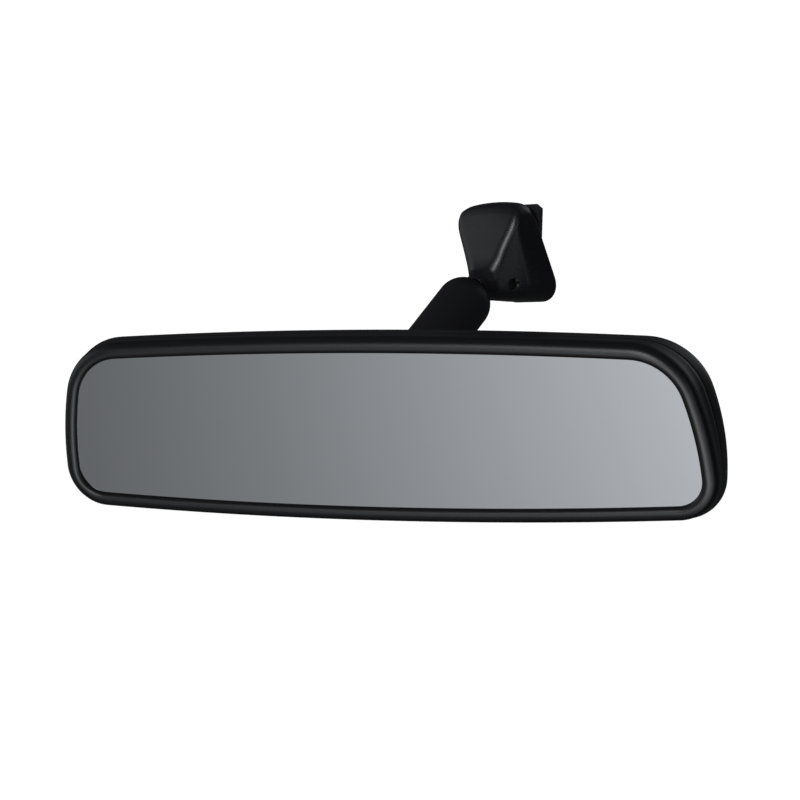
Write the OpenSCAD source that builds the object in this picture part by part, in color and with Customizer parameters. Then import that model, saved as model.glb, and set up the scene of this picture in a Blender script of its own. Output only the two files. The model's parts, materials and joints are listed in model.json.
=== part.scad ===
// Interior rearview mirror: a trapezoid mirror head on a double-ball arm, hung from a wedge plate
// that slides into a bracket bonded to the windshield.
// Millimetres. X runs across the car, +Y forward to the windshield, +Z up. The origin is the centre
// of the wedge plate's seat face. The head is set the way a driver leaves it: turned and tipped down.

/* [Mirror head] */
// Half of the width of glass that shows
glass_half_w = 118; // [114:1:120]
// Half of the height of glass that shows, on the centre line
glass_half_h = 29.1; // [28:0.1:30.5]
// Lean of the glass's ends, so that the head is wider at the bottom
glass_slant = 9.6; // [7:0.1:11]
// Thickness of the glass
glass_t = 2; // [1.6:0.1:2]
// Width of the rounded lip around the glass
lip_w = 5.4; // [5:0.1:6]
// Half of the case's width, where it is widest
case_half_w = 125.2; // [124.5:0.1:127]
// Half of the case's height, where it is tallest
case_half_h = 35.7; // [35:0.1:37]
// Depth of the case behind the glass's front face
case_depth = 21.5; // [20.5:0.1:21.5]
// Wall thickness of the moulded shells
wall = 2; // [1.6:0.1:2.2]

/* [Head position] */
// Turn of the head about the vertical, towards a driver on the +X side
head_yaw = 20; // [15:1:22]
// Tip of the head, its face towards the floor
head_pitch = 19; // [15:1:22]

/* [Ball joints and arm] */
// Radius of both steel balls
ball_r = 8; // [7.8:0.1:8]
// Radius of the head stud's neck beside the ball
neck_r = 3.2; // [2.8:0.1:3.4]
// Radius of the mount stud's neck, in the arm's small upper mouth
mount_neck_r = 2.8; // [2.4:0.1:2.9]
// Half of the cone that opens the arm's upper mouth
upper_mouth = 40; // [38:1:46]
// Outer radius of the arm's tube
tube_r = 10.25; // [10.2:0.05:10.5]
// Wall thickness of the tube
tube_wall = 1; // [0.8:0.05:1]
// Distance between the two ball centres
ball_pitch = 44.4; // [43:0.2:48]
// Angle of the arm above the horizontal
arm_elevation = 41.5; // [38:0.5:45]
// Angle of the head's stud above the head's own normal
head_stud_tilt = 15; // [13:0.5:16]

/* [Windshield mount] */
// Lean of the windshield from the vertical
windshield_lean = 27; // [25:0.5:29]
// Half of the wedge plate's width at its top
wedge_half_w = 16.5; // [15.5:0.5:17]
// Height of the wedge plate
wedge_h = 30; // [28:0.5:31]
// Taper of each side of the wedge plate
wedge_taper = 20; // [16:0.5:22]
// Thickness of the wedge plate
wedge_t = 2.5; // [2:0.1:2.6]
// Gap between the wedge plate and the cover, for the bracket's lips
lip_gap = 1.6; // [1.4:0.1:1.8]
// Angle of the mount's stud above the horizontal
mount_stud_elevation = 34.5; // [33:0.5:36]

/* [Hidden] */
$fn = 96;

// Running clearance between sliding spheres
fit = 0.05;
tube_inner_r = tube_r - tube_wall;
// Height beyond the lower ball's centre at which the tube's swaged lip ends
swage_cut = 5.2;
// Where the seat rings end, beyond each ball's centre
seat_low = 0.9;
upper_seat_high = 5.8;
lower_seat_high = 4.4;
// Gap between the arm's dome and the cover's neck
mouth_gap = 0.5;
// Distance along the arm, from a ball's centre, to the back of its cup
cup_back = 11.5;
washer_t = 1;
spring_wire_r = 0.9;
spring_coil_r = 6.2;
spring_turns = 5;

// Distance from the upper ball's centre to the cover's rim plane, along the mount's stud
stud_to_rim = 36.8;
// Position of the rim plane's stud crossing below the wedge plate's middle
rim_stud_s = -2.9;
// Where the mount's stud changes section, as distances from the ball's centre
mount_neck_end = 15;
mount_shank_end = 30;
mount_shank_r = 3.6;
mount_boss_start = 18;
mount_boss_r = 5;
cover_wall = 1.4;
// Distance by which the cover's inside stops short of its outside, away from the rim
cover_wall_h = 1.5;

// The cover's screws: place along and below the stud's axis, and distances out from the middle plane
screw_along = 19.5;
screw_below = 3.6;
screw_tip_x = 3;
screw_lug_x = 5.2;
screw_seat_x = 8.5;
screw_shank_r = 1.1;
screw_hole_r = 1.2;
screw_lug_r = 2.2;
screw_seat_r = 2.1;
screw_head_r = 1.9;
screw_head_t = 0.9;

// The cast base under the cover: a flange inside the cover's rim
flange_half_top = 12;
flange_top = 13;
flange_h = 29;
flange_taper = 2;
flange_corner = 4;
flange_base_t = 3;
spring_pocket = [8, 18, 1.2];
leaf_half = [3.5, 8.6];
leaf_t = 0.5;
leaf_rise = 0.5;

// The cover's sections, each parallel to the windshield: distance from the rim, top, bottom,
// half width at the top and the bottom, their corner radii, and the crown's slope at the corners
cover_sections = [
    [0, 17.6, -23.8, 15.2, 16, 7, 10, 9],
    [4, 18.6, -21.8, 15.2, 15, 5, 9.5, 9],
    [7, 18.4, -20.3, 15.2, 14.2, 4, 9.2, 9],
    [9, 17, -19.3, 15.1, 13.4, 3.6, 8.8, 8],
    [10.5, 15.3, -18.5, 14.6, 12.8, 3.4, 8.5, 6],
    [12, 13.4, -17.8, 13.6, 12, 3.2, 8, 4],
    [14, 10.6, -16.8, 12, 11, 3.2, 7.5, 3],
    [17, 6.4, -15.3, 9.7, 9.4, 3.4, 7, 2],
    [20, 2.1, -13.9, 7.7, 7.8, 4, 6.4, 1],
    [22.5, 0, -12.7, 6.5, 6.5, 5, 5.8, 0],
    [25.2, -0.45, -11.65, 5.65, 5.65, 5.2, 5.2, 0]];

// Upper ball's centre, from the rim crossing back along the stud
rim_h = lip_gap + wedge_t;
stud_dir = [0, cos(mount_stud_elevation), sin(mount_stud_elevation)];
arm_dir = [0, cos(arm_elevation), sin(arm_elevation)];
plane_up = [0, -sin(windshield_lean), cos(windshield_lean)];
plane_in = [0, -cos(windshield_lean), -sin(windshield_lean)];
upper_ball = plane_up * rim_stud_s + plane_in * rim_h - stud_dir * stud_to_rim;
lower_ball = upper_ball - arm_dir * ball_pitch;

// The head's ball, in the head's own frame: X across, Y back from the glass face, Z up
head_ball = [0, 35, 6.7];
plate_y = 13.5;
plate_t = 2.5;
plate_half = [19, 10];
plate_z = 2;
plate_boss_d = 19.6;
plate_boss_r = 6;
stud_hole_r = 5.4;
flange_t = 1.2;
flange_r = 5;
head_shank_start = 13.2;
head_shank_r = 4;
rivet_r = 3;
rivet_h = 3.6;
grommet_t = 3.4;
screw_clear_r = 1.5;
// How far the glass, its pad and its carrier reach past the glass that shows
glass_edge = 1.5;
pad_edge = 0.8;
carrier_edge = 2.9;

pad_t = 1.2;
carrier_y = glass_t + pad_t;
carrier_t = 2;
carrier_boss = [60, 8];
plate_screw = [15, 6];
seam_y = 6.5;
seam_gap = 0.2;
plate_screw_end = 20.4;
carrier_screw_end = 14;
screw_shaft_r = 1.4;
screw_boss_r = 3.2;

// Outlines: half width, half height, middle's height, end slant, and the radii of the top edge,
// bottom edge, end, top corner and bottom corner
glass_outline = [glass_half_w, glass_half_h, 0, glass_slant, 2083, 1942, 119, 19.2, 10];
case_outline = [case_half_w, case_half_h, -2.1, 4.6, 2100, 1940, 90, 23.7, 16.5];
back_outline = [98, 15, -1, 6, 2000, 1900, 60, 12, 10];
seam_mix = 0.45;
widest_y = 12;

// ---- Shared geometry ----

// Crossing of two circles on one side of the line between their centres
function crossing(c0, r0, c1, r1, side) =
    let (d = c1 - c0,
         gap = norm(d),
         e = d / gap,
         along = (gap * gap + r0 * r0 - r1 * r1) / (2 * gap),
         off = sqrt(max(r0 * r0 - along * along, 0)))
    c0 + e * along + side * off * [-e.y, e.x];

function bearing(p, c) = atan2(p.y - c.y, p.x - c.x);

// Points of an arc from angle a to angle b, without its last point
function arc(c, r, a, b, n) =
    [for (i = [0 : n - 1]) let (t = a + (b - a) * i / n) c + r * [cos(t), sin(t)]];

// The right half of a mirror outline, from its top to its bottom
function half_outline(o) =
    let (top_c = [0, o[1] - o[4]],
         bot_c = [0, o[5] - o[1]],
         end_c = [o[0], 0] - o[6] * [cos(o[3]), sin(o[3])],
         tc = crossing(top_c, o[4] - o[7], end_c, o[6] - o[7], -1),
         bc = crossing(bot_c, o[5] - o[8], end_c, o[6] - o[8], 1))
    concat(arc(top_c, o[4], 90, bearing(tc, top_c), 6),
           arc(tc, o[7], bearing(tc, top_c), bearing(tc, end_c), 8),
           arc(end_c, o[6], bearing(tc, end_c), bearing(bc, end_c), 4),
           arc(bc, o[8], bearing(bc, end_c), bearing(bc, bot_c), 8),
           arc(bot_c, o[5], bearing(bc, bot_c), -90, 6),
           [[0, -o[1]]]);

// The whole outline, closed, as points in X and Z
function outline(o) =
    let (h = half_outline(o), n = len(h))
    [for (p = concat(h, [for (i = [n - 2 : -1 : 1]) [-h[i].x, h[i].y]])) p + [0, o[2]]];

// An outline moved outwards by d
function grown(o, d) = o + d * [1, 1, 0, 0, 1, 1, 1, 1, 1];

function mix(a, b, k) = a * (1 - k) + b * k;

// A ring of 3-D points at depth y, running from the top towards -X
function ring(o, y) = [for (p = outline(o)) [-p.x, y, p.y]];

// Triangles between ring i and ring j of n points
function band(i, j, n) =
    [for (k = [0 : n - 1]) let (a = i * n, b = j * n, next = (k + 1) % n)
        each [[a + k, a + next, b + next], [a + k, b + next, b + k]]];

// A closed tube of rings, the last joined to the first
module ring_loop(rings) {
    n = len(rings[0]);
    m = len(rings);
    polyhedron(points = [for (r = rings) each r],
               faces = [for (i = [0 : m - 1]) each band(i, (i + 1) % m, n)]);
}

// A cup: rings run from its rim down the outside, and from 'turn' back up the inside to its rim
module cup_shell(rings, turn) {
    n = len(rings[0]);
    m = len(rings);
    sides = [for (i = [0 : m - 1]) if (i != turn - 1) each band(i, (i + 1) % m, n)];
    outer_cap = [for (k = [0 : n - 1]) (turn - 1) * n + k];
    inner_cap = [for (k = [n - 1 : -1 : 0]) turn * n + k];
    polyhedron(points = [for (r = rings) each r], faces = concat(sides, [outer_cap, inner_cap]));
}

module in_head() {
    head_turn = [head_pitch, 0, head_yaw];
    translate(lower_ball) rotate(head_turn) translate(-head_ball) children();
}

// Frame of the head's stud: its ball at the origin, its shank along +Z
module in_head_stud() {
    in_head() translate(head_ball) rotate([90 + head_stud_tilt, 0, 0]) children();
}

// Frame of the arm: upper ball at the origin, lower ball at -ball_pitch on Z
module in_arm() {
    translate(upper_ball) rotate([arm_elevation - 90, 0, 0]) children();
}

// Frame at the lower ball, with +Z out of the tube's lower mouth
module in_arm_low() {
    in_arm() translate([0, 0, -ball_pitch]) rotate([180, 0, 0]) children();
}

// Frame of the mount's stud: its ball at the origin, its shank along +Z
module in_mount_stud() {
    translate(upper_ball) rotate([mount_stud_elevation - 90, 0, 0]) children();
}

// Frame of the windshield: X across, Y up the glass, Z away from it into the car
module in_windshield() {
    rotate([90 + windshield_lean, 0, 0]) children();
}

// A slab of a head outline between depths y0 and y1
module slab(o, y0, y1) {
    translate([0, y1, 0]) rotate([90, 0, 0]) linear_extrude(height = y1 - y0) polygon(outline(o));
}

// A cylinder along Y between depths y0 and y1
module post(x, z, r, y0, y1) {
    translate([x, y1, z]) rotate([90, 0, 0]) cylinder(r = r, h = y1 - y0);
}

module at_corners(p) {
    for (sx = [-1, 1], sz = [-1, 1]) translate([sx * p.x, 0, sz * p.y]) children();
}

// ---- Windshield mount ----

// A trapezoid in the windshield's plane
module wedge_outline(half_top, top, height, taper, corner) {
    half_low = half_top - height * tan(taper);
    polygon([[-half_top + corner, top], [half_top - corner, top], [half_top, top - corner],
             [half_low, top - height], [-half_low, top - height], [-half_top, top - corner]]);
}

module mount_base() {
    wedge_top = wedge_h / 2;
    web_half_w = wedge_half_w - 4;
    web_top = wedge_top - 3;
    color("#6c6d70") difference() {
        union() {
            in_windshield() linear_extrude(height = wedge_t)
                wedge_outline(wedge_half_w, wedge_top, wedge_h, wedge_taper, 2);
            in_windshield() translate([0, 0, wedge_t - 0.1]) linear_extrude(height = lip_gap + 0.4)
                wedge_outline(web_half_w, web_top, 2 * web_top, wedge_taper, 1);
            in_windshield() translate([0, 0, rim_h + 0.2]) linear_extrude(height = flange_base_t)
                wedge_outline(flange_half_top, flange_top, flange_h, flange_taper, flange_corner);
            in_mount_stud() translate([0, 0, mount_boss_start])
                cylinder(r = mount_boss_r, h = stud_to_rim - mount_boss_start - 1);
            in_mount_stud() translate([-screw_lug_x, screw_below, screw_along]) rotate([0, 90, 0])
                cylinder(r = screw_lug_r, h = 2 * screw_lug_x);
        }
        in_mount_stud() translate([0, 0, mount_boss_start - 4])
            cylinder(r = mount_shank_r, h = mount_shank_end - mount_boss_start + 4);
        in_windshield() translate([-spring_pocket.x / 2, -spring_pocket.y / 2, -1])
            cube([spring_pocket.x, spring_pocket.y, spring_pocket.z + 1]);
        cover_screw_shanks();
    }
}

// Leaf that takes up the play of the wedge in its bracket
module retaining_spring() {
    high = spring_pocket.z - 0.05;
    low = high - leaf_rise;
    color("#9a9c9e") in_windshield() translate([-leaf_half.x, 0, 0]) rotate([90, 0, 90])
        linear_extrude(height = 2 * leaf_half.x)
            polygon([[-leaf_half.y, high], [0, low], [leaf_half.y, high],
                     [leaf_half.y, high - leaf_t], [0, low - leaf_t], [-leaf_half.y, high - leaf_t]]);
}

module upper_ball_stud() {
    color("#b4b6b8") in_mount_stud() {
        sphere(r = ball_r);
        cylinder(r = mount_neck_r, h = mount_neck_end + 0.1);
        translate([0, 0, mount_neck_end])
            cylinder(r = mount_shank_r, h = mount_shank_end - mount_neck_end);
    }
}

// A trapezoid with rounded corners and a crowned top, as points clockwise from the top's middle
function rounded_trapezoid(top, bottom, wt, wb, rt, rb, crown) =
    let (tc = [wt - rt, top - rt],
         bc = [wb - rb, bottom + rb],
         d = tc - bc,
         side = atan2(d.y, d.x) - acos((rb - rt) / norm(d)),
         start = tc + rt * [sin(crown), cos(crown)],
         rise = start.x * tan(crown) / 2,
         right = concat([for (i = [0 : 3]) [start.x * i / 4, start.y + rise * (1 - i * i / 16)]],
                        arc(tc, rt, 90 - crown, side, 6),
                        [tc + rt * [cos(side), sin(side)]],
                        arc(bc, rb, side, -90, 6),
                        [[bc.x, bottom], [0, bottom]]))
    concat(right, [for (i = [len(right) - 2 : -1 : 1]) [-right[i].x, right[i].y]]);

// Section c of the cover, drawn in by d, as points at distance h from the rim
function cover_ring(c, d, h) =
    let (rt = c[5] - d * 0.8,
         rb = c[6] - d * 0.8)
    [for (p = rounded_trapezoid(c[1] - d, c[2] + d, c[3] - d, c[4] - d, rt, rb, c[7]))
        [p.x, p.y, rim_h + h]];

// The neck's end, drawn in by d: it follows a sphere around the upper ball
function mouth_ring(c, d) =
    let (ball_up = upper_ball * plane_up,
         ball_in = upper_ball * plane_in,
         reach = tube_r + mouth_gap)
    [for (p = cover_ring(c, d, 0)) let (off = norm([p.x, p.y - ball_up]))
        [p.x, p.y, ball_in - sqrt(reach * reach - off * off)]];

module mount_cover() {
    last = len(cover_sections) - 1;
    neck = cover_sections[last];
    outside = concat([for (c = cover_sections) cover_ring(c, 0, c[0])], [mouth_ring(neck, 0)]);
    inside = concat([mouth_ring(neck, cover_wall)],
                    [for (i = [last : -1 : 0]) let (c = cover_sections[i])
                        cover_ring(c, cover_wall, max(c[0] - cover_wall_h, 0))]);
    color("#202124") difference() {
        in_windshield() ring_loop(concat(outside, inside));
        at_cover_screws() translate([0, 0, screw_seat_x]) cylinder(r = screw_seat_r, h = 6);
        at_cover_screws() translate([0, 0, screw_lug_x]) cylinder(r = screw_hole_r, h = 6);
    }
}

// Frame of one cover screw: +Z out of the cover's side
module at_cover_screws() {
    for (s = [-1, 1]) in_mount_stud() translate([0, screw_below, screw_along])
        rotate([0, 90 * s, 0]) children();
}

module cover_screw_shanks() {
    at_cover_screws() translate([0, 0, screw_tip_x])
        cylinder(r = screw_shank_r, h = screw_seat_x - screw_tip_x);
}

module cover_screws() {
    socket_r = 0.9;
    socket_depth = 0.5;
    color("#3a3b3d") {
        cover_screw_shanks();
        at_cover_screws() translate([0, 0, screw_seat_x]) difference() {
            cylinder(r = screw_head_r, h = screw_head_t);
            translate([0, 0, screw_head_t - socket_depth]) cylinder(r = socket_r, h = 1, $fn = 6);
        }
    }
}

// ---- Arm ----

// A slice of a nylon sphere between a ball and the tube's swaged end
module seat_ring(high) {
    intersection() {
        difference() {
            sphere(r = tube_inner_r - fit);
            sphere(r = ball_r + fit);
        }
        translate([0, 0, seat_low]) cylinder(r = tube_r, h = high - seat_low);
    }
}

// A cup behind a ball, with its flat back on the thrust washer
module ball_cup() {
    cup_front = 4;
    back_r = 7.6;
    bore_r = 2.5;
    difference() {
        intersection() {
            translate([0, 0, -cup_back]) cylinder(r = tube_inner_r - 0.2, h = cup_back - cup_front);
            union() {
                sphere(r = tube_inner_r - fit);
                translate([0, 0, -cup_back]) cylinder(r = back_r, h = cup_back / 2);
            }
        }
        sphere(r = ball_r + fit);
        translate([0, 0, -cup_back - 1]) cylinder(r = bore_r, h = cup_back);
    }
}

module thrust_washer() {
    bore_r = 4.2;
    translate([0, 0, -cup_back - washer_t]) difference() {
        cylinder(r = tube_inner_r - 0.15, h = washer_t - 0.02);
        translate([0, 0, -1]) cylinder(r = bore_r, h = washer_t + 2);
    }
}

module upper_seat_ring() {
    color("#e9e6da") in_arm() seat_ring(upper_seat_high);
}

module upper_ball_cup() {
    color("#e9e6da") in_arm() ball_cup();
}

module lower_seat_ring() {
    color("#e9e6da") in_arm_low() seat_ring(lower_seat_high);
}

module lower_ball_cup() {
    color("#e9e6da") in_arm_low() ball_cup();
}

module upper_thrust_washer() {
    color("#a8aaac") in_arm() thrust_washer();
}

module lower_thrust_washer() {
    color("#a8aaac") in_arm_low() thrust_washer();
}

module arm_tube() {
    color("#1d1e20") in_arm() difference() {
        union() {
            sphere(r = tube_r);
            translate([0, 0, -ball_pitch]) sphere(r = tube_r);
            translate([0, 0, -ball_pitch]) cylinder(r = tube_r, h = ball_pitch);
        }
        sphere(r = tube_inner_r);
        translate([0, 0, -ball_pitch]) sphere(r = tube_inner_r);
        translate([0, 0, -ball_pitch]) cylinder(r = tube_inner_r, h = ball_pitch);
        cylinder(r1 = 0, r2 = tube_r * tan(upper_mouth), h = tube_r);
        translate([0, 0, -ball_pitch - swage_cut - tube_r]) cylinder(r = tube_r, h = tube_r);
    }
}

// A compression spring between the washers, swept with eight sides
module arm_spring() {
    top = -cup_back - washer_t - spring_wire_r - 0.05;
    bottom = -ball_pitch - top;
    sides = 8;
    steps = spring_turns * 14;
    wire = [for (i = [0 : steps])
        let (a = 360 * spring_turns * i / steps, z = bottom + (top - bottom) * i / steps)
        [for (k = [0 : sides - 1]) let (b = 360 * k / sides, r = spring_coil_r + spring_wire_r * cos(b))
            [r * cos(a), r * sin(a), z + spring_wire_r * sin(b)]]];
    start_cap = [for (k = [sides - 1 : -1 : 0]) k];
    end_cap = [for (k = [0 : sides - 1]) steps * sides + k];
    color("#8f9194") in_arm() polyhedron(
        points = [for (r = wire) each r],
        faces = concat([for (i = [0 : steps - 1]) each band(i, i + 1, sides)], [start_cap, end_cap]));
}

// ---- Mirror head ----

module lower_ball_stud() {
    color("#b4b6b8") in_head_stud() {
        sphere(r = ball_r);
        cylinder(r = neck_r, h = head_shank_start + 0.1);
        translate([0, 0, head_shank_start])
            cylinder(r = head_shank_r, h = plate_boss_d - head_shank_start);
        translate([0, 0, plate_boss_d - flange_t]) cylinder(r = flange_r, h = flange_t);
        translate([0, 0, plate_boss_d - 0.1]) cylinder(r = rivet_r, h = rivet_h);
    }
}

module stud_plate() {
    boss_h = 2;
    cut_h = 6;
    color("#8a8c8f") difference() {
        union() {
            in_head() translate([-plate_half.x, plate_y, plate_z - plate_half.y])
                cube([2 * plate_half.x, plate_t, 2 * plate_half.y]);
            in_head_stud() translate([0, 0, plate_boss_d]) cylinder(r = plate_boss_r, h = boss_h);
        }
        in_head_stud() translate([0, 0, plate_boss_d - cut_h]) {
            cylinder(r = rivet_r, h = 2 * cut_h);
            cylinder(r = plate_boss_r + 0.4, h = cut_h);
        }
        in_head() translate([0, 0, plate_z]) at_corners(plate_screw)
            post(0, 0, screw_clear_r, plate_y - 1, plate_y + plate_t + 1);
    }
}

// A pan-head screw along Y, its head at the front
module screw(head_y, end_y) {
    head_t = 1.2;
    head_r = 2.7;
    slot = [0.5, 0.6];
    difference() {
        union() {
            post(0, 0, head_r, head_y, head_y + head_t);
            post(0, 0, screw_shaft_r, head_y + head_t - 0.1, end_y);
        }
        translate([-head_r, head_y - 1, -slot.y / 2]) cube([2 * head_r, slot.x + 1, slot.y]);
    }
}

module plate_screws() {
    color("#7c7e80") in_head() translate([0, 0, plate_z]) at_corners(plate_screw)
        screw(plate_y - 1.2, plate_screw_end);
}

module stud_grommet() {
    color("#101112") in_head_stud() difference() {
        translate([0, 0, head_shank_start + 0.3]) cylinder(r = stud_hole_r, h = grommet_t);
        cylinder(r = head_shank_r, h = plate_boss_d);
    }
}

// The outline at the parting line between the bezel and the housing
function seam_outline() = mix(grown(glass_outline, lip_w), case_outline, seam_mix);

module rear_housing() {
    inner_wall = case_depth - wall;
    seam = seam_outline();
    // Fractions from the case's widest outline to its flat back, with their depths
    backs = [[0.07, 15.5], [0.22, 18], [0.45, 20], [0.72, 21.1], [1, case_depth]];
    outside = concat([ring(seam, seam_y + seam_gap), ring(case_outline, widest_y)],
                     [for (b = backs) ring(mix(case_outline, back_outline, b[0]), b[1])]);
    inside = concat([for (i = [len(backs) - 1 : -1 : 0]) let (b = backs[i])
                        ring(grown(mix(case_outline, back_outline, b[0]), -wall), b[1] - wall)],
                    [ring(grown(case_outline, -wall), widest_y - 1),
                     ring(grown(seam, -wall), seam_y + seam_gap)]);
    color("#1b1c1f") difference() {
        union() {
            in_head() cup_shell(concat(outside, inside), len(outside));
            in_head() at_corners(carrier_boss)
                post(0, 0, screw_boss_r, carrier_y + carrier_t, inner_wall + 0.5);
            in_head() translate([0, 0, plate_z]) at_corners(plate_screw)
                post(0, 0, screw_boss_r, plate_y + plate_t, inner_wall + 0.5);
        }
        in_head_stud() translate([0, 0, head_shank_start - 4]) cylinder(r = stud_hole_r, h = 9);
        in_head() translate([0, 0, plate_z]) at_corners(plate_screw)
            post(0, 0, screw_shaft_r, plate_y, plate_screw_end);
        in_head() at_corners(carrier_boss) post(0, 0, screw_shaft_r, carrier_y, carrier_screw_end);
    }
}

module glass_carrier() {
    head_clear_r = 3;
    head_clear_t = 1.3;
    color("#2a2b2d") in_head() difference() {
        slab(grown(glass_outline, carrier_edge), carrier_y, carrier_y + carrier_t);
        at_corners(carrier_boss) post(0, 0, screw_clear_r, carrier_y - 1, carrier_y + carrier_t + 1);
        at_corners(carrier_boss) post(0, 0, head_clear_r, carrier_y - 1, carrier_y + head_clear_t);
    }
}

module carrier_screws() {
    color("#7c7e80") in_head() at_corners(carrier_boss) screw(carrier_y + 0.1, carrier_screw_end);
}

module foam_pad() {
    color("#4a4b4d") in_head() slab(grown(glass_outline, pad_edge), glass_t, carrier_y);
}

module mirror_glass() {
    color("#8d9195") in_head() slab(grown(glass_outline, glass_edge), 0, glass_t);
}

module bezel() {
    seam = seam_outline();
    // The lip's profile: distance outwards from the glass that shows, and depth
    lip = [[-0.2, 0], [-0.1, -0.6], [0.3, -1.15], [1.2, -1.6], [2.2, -1.7], [3.4, -1.5],
           [lip_w - 0.9, -0.8], [lip_w - 0.3, 0.4], [lip_w, 2]];
    pocket = [[3.2, 5.4], [3.2, carrier_y], [1.7, carrier_y], [1.7, 0]];
    rings = concat([for (p = lip) ring(grown(glass_outline, p[0]), p[1])],
                   [ring(seam, seam_y), ring(grown(seam, -wall), seam_y)],
                   [for (p = pocket) ring(grown(glass_outline, p[0]), p[1])]);
    color("#1b1c1f") in_head() ring_loop(rings);
}

mount_base();
mount_cover();
cover_screws();
retaining_spring();
upper_ball_stud();
upper_seat_ring();
upper_ball_cup();
arm_tube();
upper_thrust_washer();
arm_spring();
lower_thrust_washer();
lower_ball_cup();
lower_seat_ring();
lower_ball_stud();
stud_grommet();
stud_plate();
plate_screws();
rear_housing();
glass_carrier();
carrier_screws();
foam_pad();
mirror_glass();
bezel();
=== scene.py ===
"""Interior rearview mirror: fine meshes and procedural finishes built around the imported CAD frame.

Metres throughout. The row frame has X across the car, +Y forward to the windshield and +Z up.
"""

import json
import math

import bmesh
import bpy
from mathutils import Matrix, Vector


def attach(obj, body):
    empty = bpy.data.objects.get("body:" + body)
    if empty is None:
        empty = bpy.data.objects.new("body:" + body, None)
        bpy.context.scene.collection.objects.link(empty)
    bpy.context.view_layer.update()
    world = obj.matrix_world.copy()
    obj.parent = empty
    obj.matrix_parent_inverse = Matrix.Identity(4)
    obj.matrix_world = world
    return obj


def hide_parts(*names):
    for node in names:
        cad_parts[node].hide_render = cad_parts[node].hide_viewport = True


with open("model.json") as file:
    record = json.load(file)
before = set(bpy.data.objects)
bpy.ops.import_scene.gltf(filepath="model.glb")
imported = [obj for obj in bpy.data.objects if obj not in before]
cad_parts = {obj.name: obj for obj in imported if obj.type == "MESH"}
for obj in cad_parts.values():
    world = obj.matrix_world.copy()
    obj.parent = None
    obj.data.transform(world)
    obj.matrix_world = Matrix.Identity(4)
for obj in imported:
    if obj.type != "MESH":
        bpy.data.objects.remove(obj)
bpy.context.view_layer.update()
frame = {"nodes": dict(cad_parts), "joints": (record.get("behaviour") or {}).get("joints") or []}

# ---- Dimensions that the CAD model has too, in metres and degrees ----

HEAD_YAW = 20.0
HEAD_PITCH = 19.0
HEAD_BALL = Vector((0, 0.035, 0.0067))
HEAD_STUD_TILT = 15.0
ARM_ELEVATION = 41.5
STUD_ELEVATION = 34.5
WINDSHIELD_LEAN = 27.0
RIM_H = 0.0041
BALL_PITCH = 0.0444
TUBE_R = 0.01025
TUBE_WALL = 0.001
UPPER_MOUTH = 40.0
SWAGE_CUT = 0.0052

# Outlines: half width, half height, middle's height, end slant, and the radii of the top edge,
# bottom edge, end, top corner and bottom corner
GLASS_OUTLINE = (0.118, 0.0291, 0, 9.6, 2.083, 1.942, 0.119, 0.0192, 0.010)
CASE_OUTLINE = (0.1252, 0.0357, -0.0021, 4.6, 2.1, 1.94, 0.09, 0.0237, 0.0165)
BACK_OUTLINE = (0.098, 0.015, -0.001, 6, 2.0, 1.9, 0.06, 0.012, 0.010)
LIP_W = 0.0054
SEAM_Y = 0.0065
SEAM_MIX = 0.45
SEAM_GAP = 0.0002
WALL = 0.002
BACK_Y = 0.0215
GLASS_T = 0.002
GLASS_EDGE = 0.0015
# The screws' bosses inside the rear shell, and the stud's hole through it
CARRIER_BOSS = (0.060, 0.008)
CARRIER_BACK_Y = 0.0052
PLATE_SCREW = (0.015, 0.006)
PLATE_Z = 0.002
PLATE_BACK_Y = 0.016
BOSS_R = 0.0032
BOSS_BORE_R = 0.0014
BOSS_SUNK = 0.0005
STUD_HOLE_R = 0.0054

# Small radii that soften the moulded edges
SEAM_SOFTEN = 0.00018
COVER_SOFTEN = 0.0003
HOLE_SOFTEN = 0.0003
TUBE_SOFTEN = 0.00028
GLASS_CHAMFER = 0.0003

# How finely each arc of an outline is cut: top, top corner, end, bottom corner, bottom
FINE = (30, 18, 14, 18, 30)
COARSE = (2, 2, 2, 2, 2)


def joint_centre(name):
    return Vector(next(j["pos_m"] for j in frame["joints"] if j["name"] == name))


upper_ball = joint_centre("arm_swing")
lower_ball = joint_centre("head_turn")

head_rotation = (Matrix.Rotation(math.radians(HEAD_YAW), 4, "Z")
                 @ Matrix.Rotation(math.radians(HEAD_PITCH), 4, "X"))
HEAD_FRAME = Matrix.Translation(lower_ball) @ head_rotation @ Matrix.Translation(-HEAD_BALL)
HEAD_STUD_FRAME = (HEAD_FRAME @ Matrix.Translation(HEAD_BALL)
                   @ Matrix.Rotation(math.radians(90 + HEAD_STUD_TILT), 4, "X"))
ARM_FRAME = (Matrix.Translation(upper_ball)
             @ Matrix.Rotation(math.radians(ARM_ELEVATION - 90), 4, "X"))
STUD_FRAME = (Matrix.Translation(upper_ball)
              @ Matrix.Rotation(math.radians(STUD_ELEVATION - 90), 4, "X"))
GLASS_PLANE_FRAME = Matrix.Rotation(math.radians(90 + WINDSHIELD_LEAN), 4, "X")


# ---- Outlines ----

def crossing(c0, r0, c1, r1, side):
    """Crossing of two circles on one side of the line between their centres."""
    d = (c1[0] - c0[0], c1[1] - c0[1])
    gap = math.hypot(*d)
    e = (d[0] / gap, d[1] / gap)
    along = (gap * gap + r0 * r0 - r1 * r1) / (2 * gap)
    off = side * math.sqrt(max(r0 * r0 - along * along, 0))
    return (c0[0] + e[0] * along - e[1] * off, c0[1] + e[1] * along + e[0] * off)


def bearing(p, c):
    return math.degrees(math.atan2(p[1] - c[1], p[0] - c[0]))


def on_circle(c, r, angle):
    t = math.radians(angle)
    return (c[0] + r * math.cos(t), c[1] + r * math.sin(t))


def arc(c, r, a, b, n):
    """Points of an arc from angle a to angle b, without its last point."""
    return [on_circle(c, r, a + (b - a) * i / n) for i in range(n)]


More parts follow.
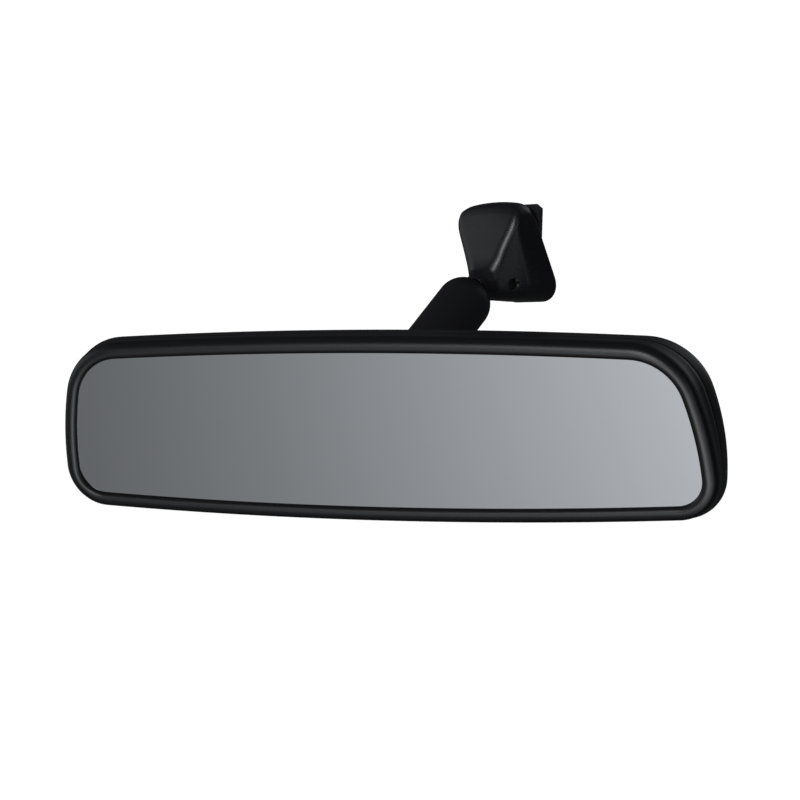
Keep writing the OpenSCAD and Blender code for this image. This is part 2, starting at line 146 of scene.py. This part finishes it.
def circle(x, y, r, sides):
    """Points of a whole circle."""
    turns = [2 * math.pi * k / sides for k in range(sides)]
    return [(x + r * math.cos(t), y + r * math.sin(t)) for t in turns]


def outline(o, cuts=FINE):
    """A closed mirror outline as points in X and Z, from the top towards -X."""
    half_w, half_h, lift, slant, r_top, r_bottom, r_end, r_tc, r_bc = o
    top_c = (0, half_h - r_top)
    bot_c = (0, r_bottom - half_h)
    lean = math.radians(slant)
    end_c = (half_w - r_end * math.cos(lean), -r_end * math.sin(lean))
    tc = crossing(top_c, r_top - r_tc, end_c, r_end - r_tc, -1)
    bc = crossing(bot_c, r_bottom - r_bc, end_c, r_end - r_bc, 1)
    half = (arc(top_c, r_top, 90, bearing(tc, top_c), cuts[0])
            + arc(tc, r_tc, bearing(tc, top_c), bearing(tc, end_c), cuts[1])
            + arc(end_c, r_end, bearing(tc, end_c), bearing(bc, end_c), cuts[2])
            + arc(bc, r_bc, bearing(bc, end_c), bearing(bc, bot_c), cuts[3])
            + arc(bot_c, r_bottom, bearing(bc, bot_c), -90, cuts[4])
            + [(0, -half_h)])
    whole = half + [(-x, z) for x, z in half[-2:0:-1]]
    return [(-x, z + lift) for x, z in whole]


def grown(o, d):
    return (o[0] + d, o[1] + d, o[2], o[3], o[4] + d, o[5] + d, o[6] + d, o[7] + d, o[8] + d)


def mix(a, b, k):
    return tuple(p * (1 - k) + q * k for p, q in zip(a, b))


# ---- Smooth runs of numbers ----

def monotone(ts, vs, steps):
    """Values of a smooth curve through (ts, vs) that never overshoots, at each of steps."""
    n = len(ts)
    h = [ts[i + 1] - ts[i] for i in range(n - 1)]
    s = [(vs[i + 1] - vs[i]) / h[i] for i in range(n - 1)]
    m = [s[0]]
    for i in range(1, n - 1):
        if s[i - 1] * s[i] <= 0:
            m.append(0)
            continue
        weights = (2 * h[i] + h[i - 1]) / s[i - 1] + (h[i] + 2 * h[i - 1]) / s[i]
        m.append(3 * (h[i - 1] + h[i]) / weights)
    m.append(s[-1])
    out = []
    for t in steps:
        i = max(k for k in range(n - 1) if ts[k] <= t or k == 0)
        u = (t - ts[i]) / h[i]
        out.append(vs[i] * (1 + 2 * u) * (1 - u) ** 2 + m[i] * h[i] * u * (1 - u) ** 2
                   + vs[i + 1] * u * u * (3 - 2 * u) + m[i + 1] * h[i] * u * u * (u - 1))
    return out


def smooth_rows(rows, lengths, per):
    """Rows on smooth curves over the lengths between the rows given, with per steps for each."""
    ts = [0]
    for length in lengths:
        ts.append(ts[-1] + length)
    steps = [ts[i] + (ts[i + 1] - ts[i]) * k / per for i in range(len(ts) - 1) for k in range(per)]
    steps.append(ts[-1])
    columns = [monotone(ts, [r[c] for r in rows], steps) for c in range(len(rows[0]))]
    return [tuple(c[i] for c in columns) for i in range(len(steps))]


# ---- Meshes ----

def finish_mesh(name, bm, matrix, body, replaced, material):
    """A mesh piece in the row frame, riding on a body and standing for CAD nodes."""
    bmesh.ops.recalc_face_normals(bm, faces=bm.faces)
    mesh = bpy.data.meshes.new(name)
    bm.to_mesh(mesh)
    bm.free()
    mesh.transform(matrix)
    piece = bpy.data.objects.new(name, mesh)
    bpy.context.scene.collection.objects.link(piece)
    mesh.materials.append(material)
    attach(piece, body)
    if replaced:
        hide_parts(*replaced)
    return piece


def add_loft(bm, rings, closed=False, sharp=()):
    """Faces between neighbouring rings of points, with the sharp rings' edges left crisp."""
    rows = [[bm.verts.new(p) for p in ring] for ring in rings]
    n = len(rings[0])
    count = len(rows) if closed else len(rows) - 1
    for i in range(count):
        a, b = rows[i], rows[(i + 1) % len(rows)]
        for k in range(n):
            face = bm.faces.new((a[k], a[(k + 1) % n], b[(k + 1) % n], b[k]))
            face.smooth = True
    for i in sharp:
        for k in range(n):
            edge = bm.edges.get((rows[i][k], rows[i][(k + 1) % n]))
            if edge:
                edge.smooth = False
    return rows


def add_boss(bm, x, z, y0, y1, sides=40):
    """A screw's boss, as a closed tube along Y."""
    corners = [(BOSS_R, y0), (BOSS_R, y1), (BOSS_BORE_R, y1), (BOSS_BORE_R, y0)]
    rings = [[(px, y, pz) for px, pz in circle(x, z, r, sides)] for r, y in corners]
    add_loft(bm, rings, closed=True, sharp=(0, 1, 2, 3))


# ---- Materials ----

def node_material(name):
    mat = bpy.data.materials.new(name)
    mat.use_nodes = True
    tree = mat.node_tree
    tree.nodes.clear()
    out = tree.nodes.new("ShaderNodeOutputMaterial")
    bsdf = tree.nodes.new("ShaderNodeBsdfPrincipled")
    tree.links.new(bsdf.outputs["BSDF"], out.inputs["Surface"])
    coord = tree.nodes.new("ShaderNodeTexCoord")
    return mat, tree, bsdf, coord.outputs["Object"]


def noise(tree, coord, scale, detail=2.0, roughness=0.5, stretch=None):
    if stretch:
        mapping = tree.nodes.new("ShaderNodeMapping")
        mapping.inputs["Scale"].default_value = stretch
        tree.links.new(coord, mapping.inputs["Vector"])
        coord = mapping.outputs["Vector"]
    node = tree.nodes.new("ShaderNodeTexNoise")
    node.inputs["Scale"].default_value = scale
    node.inputs["Detail"].default_value = detail
    node.inputs["Roughness"].default_value = roughness
    tree.links.new(coord, node.inputs["Vector"])
    return node.outputs["Fac"]


def ranged(tree, value, low, high, from_low=0.3, from_high=0.7):
    node = tree.nodes.new("ShaderNodeMapRange")
    node.inputs["From Min"].default_value = from_low
    node.inputs["From Max"].default_value = from_high
    node.inputs["To Min"].default_value = low
    node.inputs["To Max"].default_value = high
    tree.links.new(value, node.inputs["Value"])
    return node.outputs["Result"]


def blended(tree, value, dark, light):
    node = tree.nodes.new("ShaderNodeMix")
    node.data_type = "RGBA"
    node.inputs["A"].default_value = (*dark, 1)
    node.inputs["B"].default_value = (*light, 1)
    tree.links.new(value, node.inputs["Factor"])
    return node.outputs["Result"]


def bumped(tree, height, distance):
    node = tree.nodes.new("ShaderNodeBump")
    node.inputs["Strength"].default_value = 1.0
    node.inputs["Distance"].default_value = distance
    tree.links.new(height, node.inputs["Height"])
    return node.outputs["Normal"]


def plastic(name, dark, light, rough, grain_size, grain_depth):
    """Moulded plastic: a spark-eroded grain, with a slow drift of tone and gloss."""
    mottle = 0.03
    mat, tree, bsdf, coord = node_material(name)
    slow = noise(tree, coord, 1 / 0.03, 3.0)
    tree.links.new(blended(tree, slow, dark, light), bsdf.inputs["Base Color"])
    grain = noise(tree, coord, 1 / grain_size, 3.0, 0.6)
    tree.links.new(ranged(tree, grain, rough - mottle, rough + mottle), bsdf.inputs["Roughness"])
    tree.links.new(bumped(tree, grain, grain_depth), bsdf.inputs["Normal"])
    return mat


def metal(name, dark, light, rough, spread, line_scale, line_depth, stretch=(1, 1, 1),
          metallic=1.0):
    """Metal with fine turning or plating marks."""
    mat, tree, bsdf, coord = node_material(name)
    bsdf.inputs["Metallic"].default_value = metallic
    slow = noise(tree, coord, 1 / 0.006, 4.0)
    tree.links.new(blended(tree, slow, dark, light), bsdf.inputs["Base Color"])
    lines = noise(tree, coord, line_scale, 2.0, 0.5, stretch)
    tree.links.new(ranged(tree, lines, rough - spread, rough + spread), bsdf.inputs["Roughness"])
    tree.links.new(bumped(tree, lines, line_depth), bsdf.inputs["Normal"])
    return mat


black_case = plastic("black_case", (0.0058, 0.0056, 0.0072), (0.0078, 0.0076, 0.0095), 0.34,
                     0.00045, 0.000016)
black_cover = plastic("black_cover", (0.0105, 0.0102, 0.0125), (0.0135, 0.0132, 0.0160), 0.30,
                      0.0006, 0.000009)
arm_black = plastic("arm_black", (0.0110, 0.0108, 0.0135), (0.0135, 0.0132, 0.0160), 0.46,
                    0.0003, 0.000008)
carrier_plastic = plastic("carrier_plastic", (0.026, 0.026, 0.028), (0.034, 0.034, 0.036), 0.5,
                          0.0006, 0.00001)
nylon = plastic("nylon", (0.70, 0.67, 0.60), (0.80, 0.78, 0.71), 0.38, 0.0012, 0.000006)
rubber_black = plastic("rubber_black", (0.010, 0.010, 0.010), (0.016, 0.016, 0.016), 0.72,
                       0.0005, 0.00002)
foam = plastic("foam", (0.035, 0.035, 0.038), (0.065, 0.065, 0.07), 0.9, 0.0009, 0.0002)
zinc = metal("zinc", (0.036, 0.036, 0.041), (0.046, 0.046, 0.052), 0.42, 0.05, 1 / 0.0006,
             0.000015, metallic=0.0)
stud_steel = metal("stud_steel", (0.50, 0.50, 0.51), (0.60, 0.60, 0.61), 0.24, 0.05, 900, 0.000004,
                   stretch=(0.3, 3.0, 3.0))
spring_steel = metal("spring_steel", (0.26, 0.26, 0.27), (0.38, 0.38, 0.39), 0.32, 0.06, 1500,
                     0.000004)
zinc_plated = metal("zinc_plated", (0.46, 0.47, 0.50), (0.58, 0.58, 0.57), 0.30, 0.08, 1800,
                    0.000005)
screw_black = metal("screw_black", (0.015, 0.015, 0.016), (0.03, 0.03, 0.031), 0.36, 0.06, 2200,
                    0.000005,
                    metallic=0.5)


def silvered_glass():
    """A silvered mirror under clear float glass, with a faint haze."""
    mat, tree, bsdf, coord = node_material("mirror_glass")
    haze = noise(tree, coord, 1 / 0.05, 4.0)
    tint = blended(tree, haze, (0.295, 0.300, 0.304), (0.307, 0.312, 0.316))
    tree.links.new(tint, bsdf.inputs["Base Color"])
    tree.links.new(ranged(tree, haze, 0.02, 0.035), bsdf.inputs["Roughness"])
    bsdf.inputs["Metallic"].default_value = 1.0
    return mat


mirror_glass = silvered_glass()

# ---- Mirror head ----


def head_outline(off, seam, back):
    """The glass's outline grown by off, mixed towards the case's widest, then to its flat back."""
    return mix(mix(grown(GLASS_OUTLINE, off), CASE_OUTLINE, seam), BACK_OUTLINE, back)


def ring(o, y, cuts=FINE):
    return [(x, y, z) for x, z in outline(o, cuts)]


def run_lengths(rows):
    """Typical surface distance between neighbouring (off, seam, back, y) rows."""
    rings = [ring(head_outline(*r[:3]), r[3], COARSE) for r in rows]
    return [sum((Vector(p) - Vector(q)).length for p, q in zip(a, b)) / len(a)
            for a, b in zip(rings, rings[1:])]


def build_bezel():
    # The lip's profile from the glass outwards: offset from the glass, seam mix, back mix, depth
    lip = [(-0.0002, 0, 0, 0), (-0.0001, 0, 0, -0.0006), (0.0003, 0, 0, -0.00115),
           (0.0011, 0, 0, -0.0016), (0.0019, 0, 0, -0.0017), (0.0033, 0, 0, -0.0014),
           (LIP_W - 0.0009, 0, 0, -0.0006), (LIP_W - 0.0003, 0, 0, 0.0004), (LIP_W, 0, 0, 0.002),
           (LIP_W, SEAM_MIX, 0, SEAM_Y)]
    rows = smooth_rows(lip, run_lengths(lip), 4)
    rings = [ring(head_outline(*r[:3]), r[3]) for r in rows[:-1]]
    seam = head_outline(LIP_W, SEAM_MIX, 0)
    rings += [ring(seam, SEAM_Y - SEAM_SOFTEN),
              ring(grown(seam, -SEAM_SOFTEN * 0.35), SEAM_Y - SEAM_SOFTEN * 0.3),
              ring(grown(seam, -SEAM_SOFTEN), SEAM_Y)]
    first = len(rings)
    pocket = [(0.0032, 0.0054), (0.0032, 0.0032), (0.0017, 0.0032), (0.0017, 0.0)]
    rings += [ring(grown(seam, -WALL), SEAM_Y)]
    rings += [ring(grown(GLASS_OUTLINE, d), y) for d, y in pocket]
    bm = bmesh.new()
    add_loft(bm, rings, closed=True, sharp=[0] + list(range(first - 1, len(rings))))
    return finish_mesh("bezel_moulding", bm, HEAD_FRAME, "head", ["bezel"],
                       black_case)


def hole_ring(points, centre, radius):
    """Points of a circle around centre in the XZ plane, each on the way to the matching point."""
    out = []
    for x, z in points:
        d = math.hypot(x - centre[0], z - centre[1])
        out.append((centre[0] + (x - centre[0]) * radius / d,
                    centre[1] + (z - centre[1]) * radius / d))
    return out


def build_housing():
    start = SEAM_Y + SEAM_GAP
    backs = [(LIP_W, SEAM_MIX, 0, start), (LIP_W, 1, 0, 0.012), (LIP_W, 1, 0.07, 0.0155),
             (LIP_W, 1, 0.22, 0.018), (LIP_W, 1, 0.45, 0.020), (LIP_W, 1, 0.72, 0.0211),
             (LIP_W, 1, 1, BACK_Y)]
    rows = smooth_rows(backs, run_lengths(backs), 6)
    seam = head_outline(LIP_W, SEAM_MIX, 0)
    inner_y = BACK_Y - WALL
    rings = [ring(grown(seam, -SEAM_SOFTEN), start),
             ring(grown(seam, -SEAM_SOFTEN * 0.35), start + SEAM_SOFTEN * 0.3)]
    rings += [ring(head_outline(*r[:3]), r[3]) for r in rows[1:]]
    inner = []
    for off, seam_mix, back, y in backs[:0:-1]:
        # The wall is thinner in depth where it runs along the case's side
        depth = y - WALL * min(1, back * 4 + 0.5)
        inner.append(ring(grown(head_outline(off, seam_mix, back), -WALL), min(depth, inner_y)))
    # The stud's hole, along the stud's axis where it crosses the back wall
    axis = HEAD_FRAME.inverted() @ HEAD_STUD_FRAME
    origin, direction = axis.translation, axis.to_3x3() @ Vector((0, 0, 1))

    outer_flat = outline(head_outline(LIP_W, 1, 1))
    inner_flat = outline(grown(head_outline(LIP_W, 1, 1), -WALL))
    hole_at = len(rings)
    for flat, y, radius in ((outer_flat, BACK_Y, STUD_HOLE_R + HOLE_SOFTEN),
                            (outer_flat, BACK_Y - HOLE_SOFTEN, STUD_HOLE_R),
                            (inner_flat, inner_y, STUD_HOLE_R)):
        p = origin + direction * ((y - origin.y) / direction.y)
        rings.append([(x, y, z) for x, z in hole_ring(flat, (p.x, p.z), radius)])
    rings += inner + [ring(grown(seam, -WALL), start)]
    bm = bmesh.new()
    add_loft(bm, rings, closed=True, sharp=[0, *range(hole_at, hole_at + 4), len(rings) - 1])
    for sx in (-1, 1):
        for sz in (-1, 1):
            add_boss(bm, sx * CARRIER_BOSS[0], sz * CARRIER_BOSS[1], CARRIER_BACK_Y,
                     inner_y + BOSS_SUNK)
            add_boss(bm, sx * PLATE_SCREW[0], sz * PLATE_SCREW[1] + PLATE_Z, PLATE_BACK_Y,
                     inner_y + BOSS_SUNK)
    return finish_mesh("rear_shell", bm, HEAD_FRAME, "head", ["rear_housing"],
                       black_case)


def build_glass():
    bm = bmesh.new()
    whole = grown(GLASS_OUTLINE, GLASS_EDGE)
    face = grown(whole, -GLASS_CHAMFER)
    rings = [ring(face, 0), ring(whole, GLASS_CHAMFER), ring(whole, GLASS_T - GLASS_CHAMFER),
             ring(face, GLASS_T)]
    rows = add_loft(bm, rings, sharp=(0, 1, 2, 3))
    for row in (rows[0], rows[-1]):
        bm.faces.new(row)
    return finish_mesh("glass_pane", bm, HEAD_FRAME, "head", ["mirror_glass"],
                       mirror_glass)


# ---- Mount ----

# Sections of the cover: distance from the rim, top, bottom, half width at the top and the bottom,
# their corner radii, and the crown's slope at the top corners in degrees
COVER_SECTIONS = [
    (0, 0.0176, -0.0238, 0.0152, 0.016, 0.007, 0.010, 9),
    (0.004, 0.0186, -0.0218, 0.0152, 0.015, 0.005, 0.0095, 9),
    (0.007, 0.0184, -0.0203, 0.0152, 0.0142, 0.004, 0.0092, 9),
    (0.009, 0.017, -0.0193, 0.0151, 0.0134, 0.0036, 0.0088, 8),
    (0.0105, 0.0153, -0.0185, 0.0146, 0.0128, 0.0034, 0.0085, 6),
    (0.012, 0.0134, -0.0178, 0.0136, 0.012, 0.0032, 0.008, 4),
    (0.014, 0.0106, -0.0168, 0.012, 0.011, 0.0032, 0.0075, 3),
    (0.017, 0.0064, -0.0153, 0.0097, 0.0094, 0.0034, 0.007, 2),
    (0.020, 0.0021, -0.0139, 0.0077, 0.0078, 0.004, 0.0064, 1),
    (0.0225, 0, -0.0127, 0.0065, 0.0065, 0.005, 0.0058, 0),
    (0.0252, -0.00045, -0.01165, 0.00565, 0.00565, 0.0052, 0.0052, 0)]
COVER_WALL = 0.0014
COVER_WALL_H = 0.0015
MOUTH_GAP = 0.0005
SCREW_ALONG = 0.0195
SCREW_BELOW = 0.0036
SCREW_SEAT_X = 0.0085
SCREW_HOLE_R = 0.0012
SCREW_SEAT_R = 0.0021
CUTTER_START = 0.001
CUTTER_END = 0.0174
CUTTER_SIDES = 48


def line(a, b, n):
    """Points from a to b, without the last."""
    return [(a[0] + (b[0] - a[0]) * i / n, a[1] + (b[1] - a[1]) * i / n) for i in range(n)]


def rounded_trapezoid(top, bottom, wt, wb, rt, rb, crown, corner=14, side_cuts=12, flat_cuts=10):
    """A rounded trapezoid with a crowned top, as points clockwise from the top's middle."""
    tc, bc = (wt - rt, top - rt), (wb - rb, bottom + rb)
    d = (tc[0] - bc[0], tc[1] - bc[1])
    turn = math.degrees(math.acos(max(-1, min(1, (rb - rt) / math.hypot(*d)))))
    side = math.degrees(math.atan2(d[1], d[0])) - turn
    top_arc = arc(tc, rt, 90 - crown, side, corner)
    low_arc = arc(bc, rb, side, -90, corner)
    corner_x, corner_y = top_arc[0]
    rise = corner_x * math.tan(math.radians(crown)) / 2
    roof = [(corner_x * i / flat_cuts, corner_y + rise * (1 - (i / flat_cuts) ** 2))
            for i in range(flat_cuts)]
    right = (roof + top_arc + line(on_circle(tc, rt, side), low_arc[0], side_cuts) + low_arc
             + line(on_circle(bc, rb, -90), (0, bottom), flat_cuts) + [(0, bottom)])
    return right + [(-x, y) for x, y in right[-2:0:-1]]


def cover_shape(s, inward):
    return rounded_trapezoid(s[1] - inward, s[2] + inward, s[3] - inward, s[4] - inward,
                             s[5] - inward * 0.8, s[6] - inward * 0.8, s[7])


def cover_ring(s, inward, h):
    return [(x, y, RIM_H + h) for x, y in cover_shape(s, inward)]


def mouth_ring(s, inward, short):
    """The neck's end, short of a sphere around the upper ball by a distance."""
    ball = GLASS_PLANE_FRAME.inverted() @ upper_ball
    reach = TUBE_R + MOUTH_GAP + short
    return [(x, y, ball.z - math.sqrt(reach ** 2 - x * x - (y - ball.y) ** 2))
            for x, y in cover_shape(s, inward)]


def cut_holes(piece, cutters):
    """Cuts closed meshes out of a piece and keeps only the result."""
    for cutter in cutters:
        modifier = piece.modifiers.new("cut", "BOOLEAN")
        modifier.operation = "DIFFERENCE"
        modifier.solver = "EXACT"
        modifier.object = cutter
    bpy.context.view_layer.update()
    evaluated = piece.evaluated_get(bpy.context.evaluated_depsgraph_get())
    result = bpy.data.meshes.new_from_object(evaluated)
    piece.modifiers.clear()
    piece.data = result
    for cutter in cutters:
        bpy.data.objects.remove(cutter)


def screw_cutter(side):
    """A stepped cylinder for one screw's hole and the recess around its head."""
    profile = [(SCREW_HOLE_R, CUTTER_START), (SCREW_HOLE_R, SCREW_SEAT_X),
               (SCREW_SEAT_R, SCREW_SEAT_X), (SCREW_SEAT_R, CUTTER_END)]
    bm = bmesh.new()
    rows = add_loft(bm, [[(x, y, z) for x, y in circle(0, 0, r, CUTTER_SIDES)] for r, z in profile])
    bm.faces.new(rows[0])
    bm.faces.new(rows[-1])
    bmesh.ops.recalc_face_normals(bm, faces=bm.faces)
    mesh = bpy.data.meshes.new("cutter")
    bm.to_mesh(mesh)
    bm.free()
    mesh.transform(STUD_FRAME @ Matrix.Translation((0, SCREW_BELOW, SCREW_ALONG))
                   @ Matrix.Rotation(math.radians(90 * side), 4, "Y"))
    cutter = bpy.data.objects.new("cutter", mesh)
    bpy.context.scene.collection.objects.link(cutter)
    return cutter


def build_cover():
    gaps = [b[0] - a[0] for a, b in zip(COVER_SECTIONS, COVER_SECTIONS[1:])]
    sections = smooth_rows(COVER_SECTIONS, gaps, 5)
    soften = COVER_SOFTEN
    rim = sections[0]
    mouth = sections[-1]
    rings = [cover_ring(rim, soften, 0), cover_ring(rim, soften * 0.3, soften * 0.3)]
    rings += [cover_ring(s, 0, max(s[0], soften)) for s in sections]
    rings += [mouth_ring(mouth, 0, soften), mouth_ring(mouth, soften * 0.3, soften * 0.3),
              mouth_ring(mouth, soften, 0)]
    turn = len(rings)
    rings += [mouth_ring(mouth, COVER_WALL, 0)]
    rings += [cover_ring(s, COVER_WALL, max(s[0] - COVER_WALL_H, 0))
              for s in reversed(COVER_SECTIONS)]
    bm = bmesh.new()
    add_loft(bm, rings, closed=True, sharp=(turn - 1, turn, len(rings) - 1, 0))
    piece = finish_mesh("mount_shell", bm, GLASS_PLANE_FRAME, "mount", ["mount_cover"],
                        black_cover)
    cut_holes(piece, [screw_cutter(side) for side in (-1, 1)])
    return piece


# ---- Arm ----

def build_arm():
    outer, inner, lip = TUBE_R, TUBE_R - TUBE_WALL, TUBE_SOFTEN

    def at(radius, angle):
        return (radius * math.cos(angle), radius * math.sin(angle))

    def swept(radius, angle, steps):
        """Points on a sphere's profile, from an angle above its equator down to it."""
        return [at(radius, angle * i / steps) for i in range(steps, -1, -1)]
    mouth = math.radians(90 - UPPER_MOUTH)
    ease = lip / outer
    upper = ([at(inner, mouth), at(outer - lip, mouth), at(outer - lip * 0.3, mouth - ease * 0.3)]
             + swept(outer, mouth - ease, 24))
    cut_out = math.sqrt(outer ** 2 - SWAGE_CUT ** 2)
    below = ([(cut_out - lip, SWAGE_CUT), (cut_out - lip * 0.3, SWAGE_CUT - lip * 0.25)]
             + swept(outer, math.asin((SWAGE_CUT - lip) / outer), 16))
    lower = [(r, -BALL_PITCH - z) for r, z in reversed(below)]
    inner_low = [(r, -BALL_PITCH - z) for r, z in swept(inner, math.asin(SWAGE_CUT / inner), 8)]
    inner_up = swept(inner, mouth, 12)[:0:-1]
    loop = upper + lower + inner_low + inner_up
    rings = [[(x, y, z) for x, y in circle(0, 0, r, 128)] for r, z in loop]
    bm = bmesh.new()
    turn = len(upper) + len(lower)
    add_loft(bm, rings, closed=True, sharp=(0, 1, turn - 1, turn))
    return finish_mesh("arm_sleeve", bm, ARM_FRAME, "arm", ["arm_tube"], arm_black)


build_bezel()
build_housing()
build_glass()
build_cover()
build_arm()

# ---- Finishes of the CAD parts that keep their shape ----

NODE_FINISH = {
    "mount_base": zinc, "cover_screws": screw_black, "retaining_spring": spring_steel,
    "upper_ball_stud": stud_steel, "upper_seat_ring": nylon, "upper_ball_cup": nylon,
    "upper_thrust_washer": zinc_plated, "arm_spring": spring_steel,
    "lower_thrust_washer": zinc_plated, "lower_ball_cup": nylon, "lower_seat_ring": nylon,
    "lower_ball_stud": stud_steel, "stud_grommet": rubber_black, "stud_plate": zinc_plated,
    "plate_screws": zinc_plated, "glass_carrier": carrier_plastic, "carrier_screws": zinc_plated,
    "foam_pad": foam}
for node, material in NODE_FINISH.items():
    mesh = frame["nodes"][node].data
    mesh.materials.clear()
    mesh.materials.append(material)

# ---- Studio ----

FLOOR_Z = -0.55
FLOOR_HALF = 30.0
FLOOR_GLOW = 0.9


def build_floor():
    mesh = bpy.data.meshes.new("studio_floor")
    corners = [(sx * FLOOR_HALF, sy * FLOOR_HALF, FLOOR_Z)
               for sx, sy in ((-1, -1), (1, -1), (1, 1), (-1, 1))]
    mesh.from_pydata(corners, [], [(0, 1, 2, 3)])
    floor = bpy.data.objects.new("studio_floor", mesh)
    bpy.context.scene.collection.objects.link(floor)
    mat, tree, bsdf, coord = node_material("studio_floor")
    slow = noise(tree, coord, 0.6)
    tone = blended(tree, slow, (0.88, 0.88, 0.88), (0.9, 0.9, 0.9))
    tree.links.new(tone, bsdf.inputs["Base Color"])
    bsdf.inputs["Roughness"].default_value = 0.9
    bsdf.inputs["Emission Color"].default_value = (1, 1, 1, 1)
    bsdf.inputs["Emission Strength"].default_value = FLOOR_GLOW
    mesh.materials.append(mat)
    floor.visible_glossy = False
    floor.visible_diffuse = False


def build_world():
    """A white backdrop for the camera, and a dome of soft boxes that lights everything else."""
    world = bpy.data.worlds.new("studio")
    bpy.context.scene.world = world
    world.use_nodes = True
    tree = world.node_tree
    tree.nodes.clear()
    out = tree.nodes.new("ShaderNodeOutputWorld")
    backdrop = tree.nodes.new("ShaderNodeBackground")
    backdrop.inputs["Color"].default_value = (1, 1, 1, 1)
    backdrop.inputs["Strength"].default_value = BACKDROP
    light = tree.nodes.new("ShaderNodeBackground")
    light.inputs["Color"].default_value = (0.965, 1, 1.04, 1)
    choose = tree.nodes.new("ShaderNodeMixShader")
    path = tree.nodes.new("ShaderNodeLightPath")
    tree.links.new(path.outputs["Is Camera Ray"], choose.inputs["Fac"])
    tree.links.new(light.outputs["Background"], choose.inputs[1])
    tree.links.new(backdrop.outputs["Background"], choose.inputs[2])
    tree.links.new(choose.outputs["Shader"], out.inputs["Surface"])
    coord = tree.nodes.new("ShaderNodeTexCoord")
    split = tree.nodes.new("ShaderNodeSeparateXYZ")
    tree.links.new(coord.outputs["Generated"], split.inputs["Vector"])

    def math_node(operation, a, b=None):
        node = tree.nodes.new("ShaderNodeMath")
        node.operation = operation
        for i, v in enumerate((a, b)):
            if v is None:
                continue
            if isinstance(v, (int, float)):
                node.inputs[i].default_value = v
            else:
                tree.links.new(v, node.inputs[i])
        return node.outputs["Value"]

    def soft_box(x, z, wide_x, wide_z, power, side):
        """A box with soft edges around a direction's X and Z, on one side of the dome in Y."""
        dx = math_node("DIVIDE", math_node("SUBTRACT", split.outputs["X"], x), wide_x)
        dz = math_node("DIVIDE", math_node("SUBTRACT", split.outputs["Z"], z), wide_z)
        far = math_node("ADD", math_node("POWER", math_node("ABSOLUTE", dx), 2),
                        math_node("POWER", math_node("ABSOLUTE", dz), 2))
        glow = math_node("EXPONENT", math_node("MULTIPLY", far, -1))
        facing = math_node("GREATER_THAN", math_node("MULTIPLY", split.outputs["Y"], side), 0)
        return math_node("MULTIPLY", math_node("MULTIPLY", glow, facing), power)

    total = BASE_LIGHT
    for box in SOFT_BOXES:
        total = math_node("ADD", total, soft_box(*box))
    tree.links.new(total, light.inputs["Strength"])


BACKDROP = 1.05
BASE_LIGHT = 0.04
# The dome's boxes, set until the tones at the photo's own view came near the photo.
# Each one: X and Z of the direction of its middle, half width, half height, brightness, side in Y
SOFT_BOXES = [
    (0.27, -0.57, 0.34, 0.25, 2.5, -1),
    (0.33, -0.58, 0.12, 0.22, 2.8, -1),
    (0.58, -0.56, 0.22, 0.20, 0.6, -1),
    (0.22, 0.0, 0.12, 0.20, 11.0, -1),
    (-0.75, 0.15, 0.28, 0.30, 0.65, -1),
    (0.90, -0.40, 0.25, 0.40, 0.45, -1),
    (0.0, 0.0, 2.0, 2.0, 0.09, -1),
    (0.10, 0.50, 0.30, 0.25, 0.6, 1)]

build_floor()
build_world()

# ---- Camera ----

AZIMUTH = 42.0
CAMERA_DISTANCE = 0.875
CAMERA_RIGHT = 0.0106
CAMERA_UP = 0.0109
# Degrees of roll, fitted to the head's outline in the photo
CAMERA_ROLL = 0.5
CAMERA_NEAR = 0.05
CAMERA_FAR = 50
SENSOR = 36.0
LENS = 111.4


def build_camera():
    a = math.radians(AZIMUTH)
    back = Vector((math.sin(a), -math.cos(a), 0))
    roll = math.radians(CAMERA_ROLL)
    level = Vector((math.cos(a), math.sin(a), 0))
    right = level * math.cos(roll) + Vector((0, 0, math.sin(roll)))
    up = Vector((0, 0, math.cos(roll))) - level * math.sin(roll)
    centre = HEAD_FRAME @ Vector((0, 0, 0))
    data = bpy.data.cameras.new("camera")
    data.lens = LENS
    data.sensor_width = SENSOR
    data.clip_start = CAMERA_NEAR
    data.clip_end = CAMERA_FAR
    camera = bpy.data.objects.new("camera", data)
    bpy.context.scene.collection.objects.link(camera)
    place = centre + back * CAMERA_DISTANCE + right * CAMERA_RIGHT + up * CAMERA_UP
    camera.matrix_world = Matrix.Translation(place) @ Matrix((right, up, back)).transposed().to_4x4()
    bpy.context.scene.camera = camera


build_camera()
bpy.context.scene.view_settings.view_transform = "Standard"
